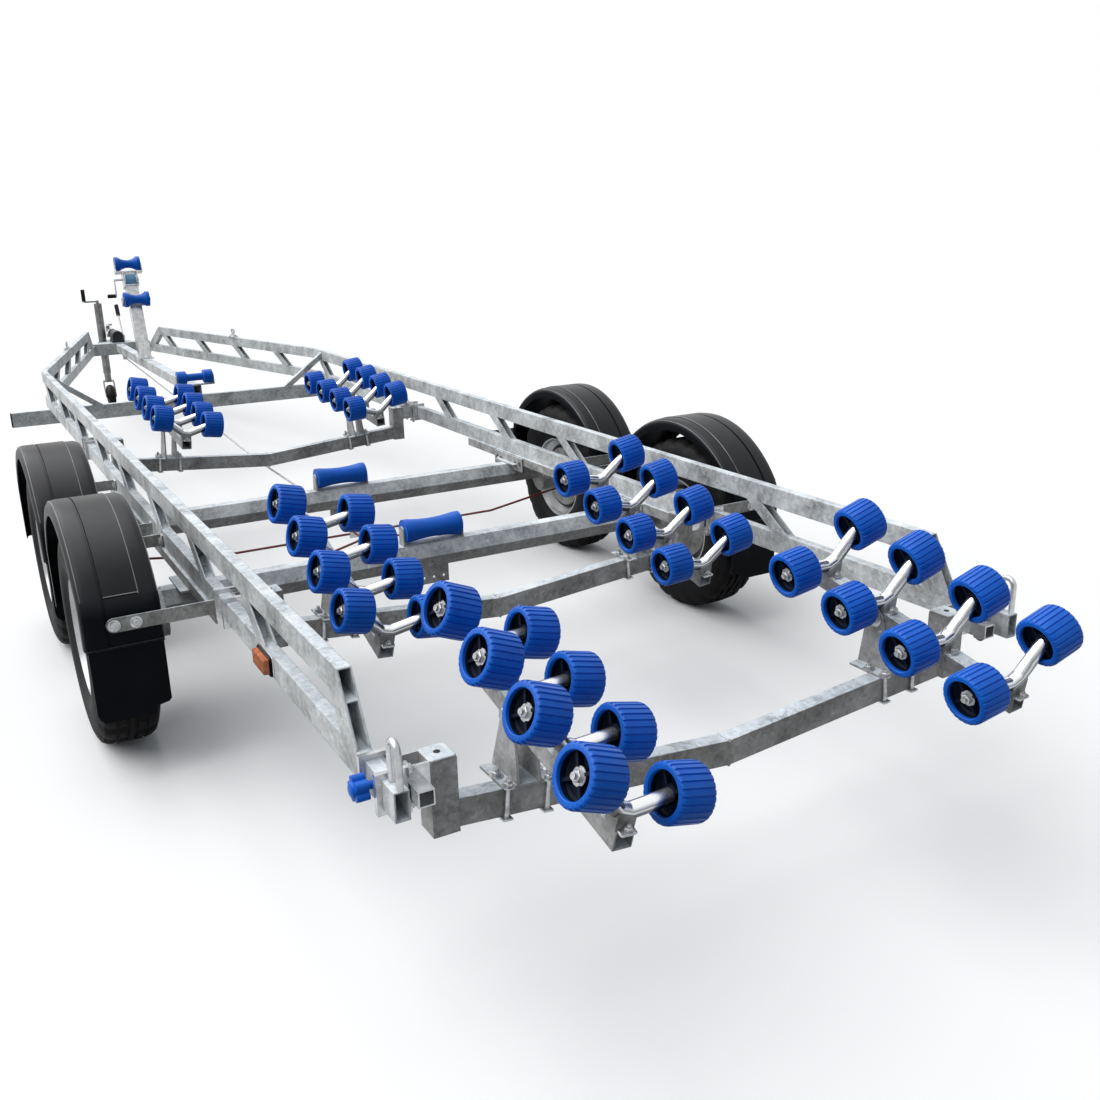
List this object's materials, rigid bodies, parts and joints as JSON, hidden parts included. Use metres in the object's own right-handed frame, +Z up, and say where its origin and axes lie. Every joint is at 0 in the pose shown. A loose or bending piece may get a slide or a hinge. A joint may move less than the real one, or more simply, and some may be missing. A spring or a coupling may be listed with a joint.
{
  "type": "boat trailer",
  "caption": "Tandem-axle galvanised boat trailer with lattice side beams, pivoting ribbed-roller cradles, keel rollers, winch post and jockey wheel.",
  "frame": {"origin": "on the floor under the middle of the overall length and width", "axes": "+X to the trailer's right seen from behind, +Y forward to the coupling, +Z up"},
  "size_m": [2.346, 8.7708, 1.2144],
  "materials": {
    "galvanised": "hot-dip galvanised, dull with a fine spangle",
    "zinc": "bright zinc plated",
    "cast": "zinc passivated casting",
    "silver_paint": "silver paint",
    "tyre_rubber": "dull black rubber",
    "black_rubber": "dull black rubber",
    "black_plastic": "satin black moulded plastic",
    "blue_plastic": "royal blue non-marking polymer",
    "amber_lens": "amber lens",
    "red_cable": "red-brown outer sheath"
  },
  "bodies": {
    "chassis": {"upper_rails": "galvanised", "lower_rails": "galvanised", "rail_struts": "galvanised", "drawbar_tubes": "galvanised", "front_cross_beam": "galvanised", "beam_end_caps": "black_plastic", "v_beams": "galvanised", "beam_clamps": "galvanised", "cradle_brackets": "galvanised", "axle_carriers": "galvanised", "axle_tubes": "galvanised", "wheel_arms": "galvanised", "mudguards": "black_plastic", "mudguard_straps": "galvanised", "overrun_body": "cast", "gaiter": "black_rubber", "coupling_head": "cast", "handbrake_lever": "zinc", "jack_clamp": "galvanised", "jack_tube": "zinc", "winch_post": "galvanised", "winch_frame": "zinc", "roller_brackets": "galvanised", "light_sockets": "galvanised", "star_knobs": "blue_plastic", "side_markers": "amber_lens", "tie_down_eyes": "galvanised", "brake_rod": "zinc", "brake_cables": "red_cable"},
    "wheel_front_left": {"tyre_front_left": "tyre_rubber", "rim_front_left": "silver_paint"},
    "wheel_rear_left": {"tyre_rear_left": "tyre_rubber", "rim_rear_left": "silver_paint"},
    "wheel_front_right": {"tyre_front_right": "tyre_rubber", "rim_front_right": "silver_paint"},
    "wheel_rear_right": {"tyre_rear_right": "tyre_rubber", "rim_rear_right": "silver_paint"},
    "cradle_rear_left": {"cradle_arm_rear_left": "galvanised", "cradle_rollers_rear_left": "blue_plastic"},
    "cradle_rear_right": {"cradle_arm_rear_right": "galvanised", "cradle_rollers_rear_right": "blue_plastic"},
    "cradle_middle_left": {"cradle_arm_middle_left": "galvanised", "cradle_rollers_middle_left": "blue_plastic"},
    "cradle_middle_right": {"cradle_arm_middle_right": "galvanised", "cradle_rollers_middle_right": "blue_plastic"},
    "cradle_front_left": {"cradle_arm_front_left": "galvanised", "cradle_rollers_front_left": "blue_plastic"},
    "cradle_front_right": {"cradle_arm_front_right": "galvanised", "cradle_rollers_front_right": "blue_plastic"},
    "keel_roller_front": {"keel_roller_front": "blue_plastic"},
    "keel_roller_middle": {"keel_roller_middle": "blue_plastic"},
    "keel_roller_rear": {"keel_roller_rear": "blue_plastic"},
    "bow_roller_low": {"bow_roller_low": "blue_plastic"},
    "bow_roller_top": {"bow_roller_top": "blue_plastic"},
    "winch_drum": {"winch_drum": "zinc"},
    "jack_leg": {"jack_leg": "zinc"},
    "jack_fork": {"jack_fork": "zinc"},
    "jack_wheel": {"jack_wheel": "black_rubber"}
  },
  "joints": [
    {"name": "wheel_front_left_spin", "type": "hinge", "parent": "chassis", "child": "wheel_front_left", "pos_m": [-1.07, -1.497, 0.325], "axis": [1, 0, 0], "continuous": true},
    {"name": "wheel_rear_left_spin", "type": "hinge", "parent": "chassis", "child": "wheel_rear_left", "pos_m": [-1.07, -2.412, 0.325], "axis": [1, 0, 0], "continuous": true},
    {"name": "wheel_front_right_spin", "type": "hinge", "parent": "chassis", "child": "wheel_front_right", "pos_m": [1.07, -1.497, 0.325], "axis": [1, 0, 0], "continuous": true},
    {"name": "wheel_rear_right_spin", "type": "hinge", "parent": "chassis", "child": "wheel_rear_right", "pos_m": [1.07, -2.412, 0.325], "axis": [1, 0, 0], "continuous": true},
    {"name": "cradle_rear_left_pivot", "type": "hinge", "parent": "chassis", "child": "cradle_rear_left", "pos_m": [-0.49915, -3.928, 0.53619], "axis": [-0.9962, 0, 0.0872], "range_deg": [0, 24]},
    {"name": "cradle_rear_right_pivot", "type": "hinge", "parent": "chassis", "child": "cradle_rear_right", "pos_m": [0.49915, -3.928, 0.53619], "axis": [-0.9962, 0, -0.0872], "range_deg": [0, 24]},
    {"name": "cradle_middle_left_pivot", "type": "hinge", "parent": "chassis", "child": "cradle_middle_left", "pos_m": [-0.49893, -2.84, 0.52714], "axis": [-0.9962, 0, 0.0872], "range_deg": [0, 26]},
    {"name": "cradle_middle_right_pivot", "type": "hinge", "parent": "chassis", "child": "cradle_middle_right", "pos_m": [0.49893, -2.84, 0.52714], "axis": [-0.9962, 0, -0.0872], "range_deg": [0, 26]},
    {"name": "cradle_front_left_pivot", "type": "hinge", "parent": "chassis", "child": "cradle_front_left", "pos_m": [-0.45244, -0.355, 0.56322], "axis": [-0.9962, 0, 0.0872], "range_deg": [0, 15]},
    {"name": "cradle_front_right_pivot", "type": "hinge", "parent": "chassis", "child": "cradle_front_right", "pos_m": [0.45244, -0.355, 0.56322], "axis": [-0.9962, 0, -0.0872], "range_deg": [0, 15]},
    {"name": "keel_roller_front_spin", "type": "hinge", "parent": "chassis", "child": "keel_roller_front", "pos_m": [0, 1.118, 0.562], "axis": [1, 0, 0], "continuous": true},
    {"name": "keel_roller_middle_spin", "type": "hinge", "parent": "chassis", "child": "keel_roller_middle", "pos_m": [0, -1.447, 0.462], "axis": [1, 0, 0], "continuous": true},
    {"name": "keel_roller_rear_spin", "type": "hinge", "parent": "chassis", "child": "keel_roller_rear", "pos_m": [0, -2.362, 0.462], "axis": [1, 0, 0], "continuous": true},
    {"name": "bow_roller_low_spin", "type": "hinge", "parent": "chassis", "child": "bow_roller_low", "pos_m": [0, 2.74496, 0.92476], "axis": [1, 0, 0], "continuous": true},
    {"name": "bow_roller_top_spin", "type": "hinge", "parent": "chassis", "child": "bow_roller_top", "pos_m": [0, 2.93999, 1.16239], "axis": [1, 0, 0], "continuous": true},
    {"name": "winch_drum_spin", "type": "hinge", "parent": "chassis", "child": "winch_drum", "pos_m": [0, 2.901, 1.05526], "axis": [1, 0, 0], "continuous": true},
    {"name": "jack_slide", "type": "slide", "parent": "chassis", "child": "jack_leg", "axis": [0, 0, 1], "range_m": [-0.2, 0.02]},
    {"name": "jack_swivel", "type": "hinge", "parent": "jack_leg", "child": "jack_fork", "pos_m": [-0.09, 4.018, 0.202], "axis": [0, 0, 1], "continuous": true},
    {"name": "jack_wheel_spin", "type": "hinge", "parent": "jack_fork", "child": "jack_wheel", "pos_m": [-0.09, 3.976, 0.085], "axis": [1, 0, 0], "continuous": true}
  ]
}
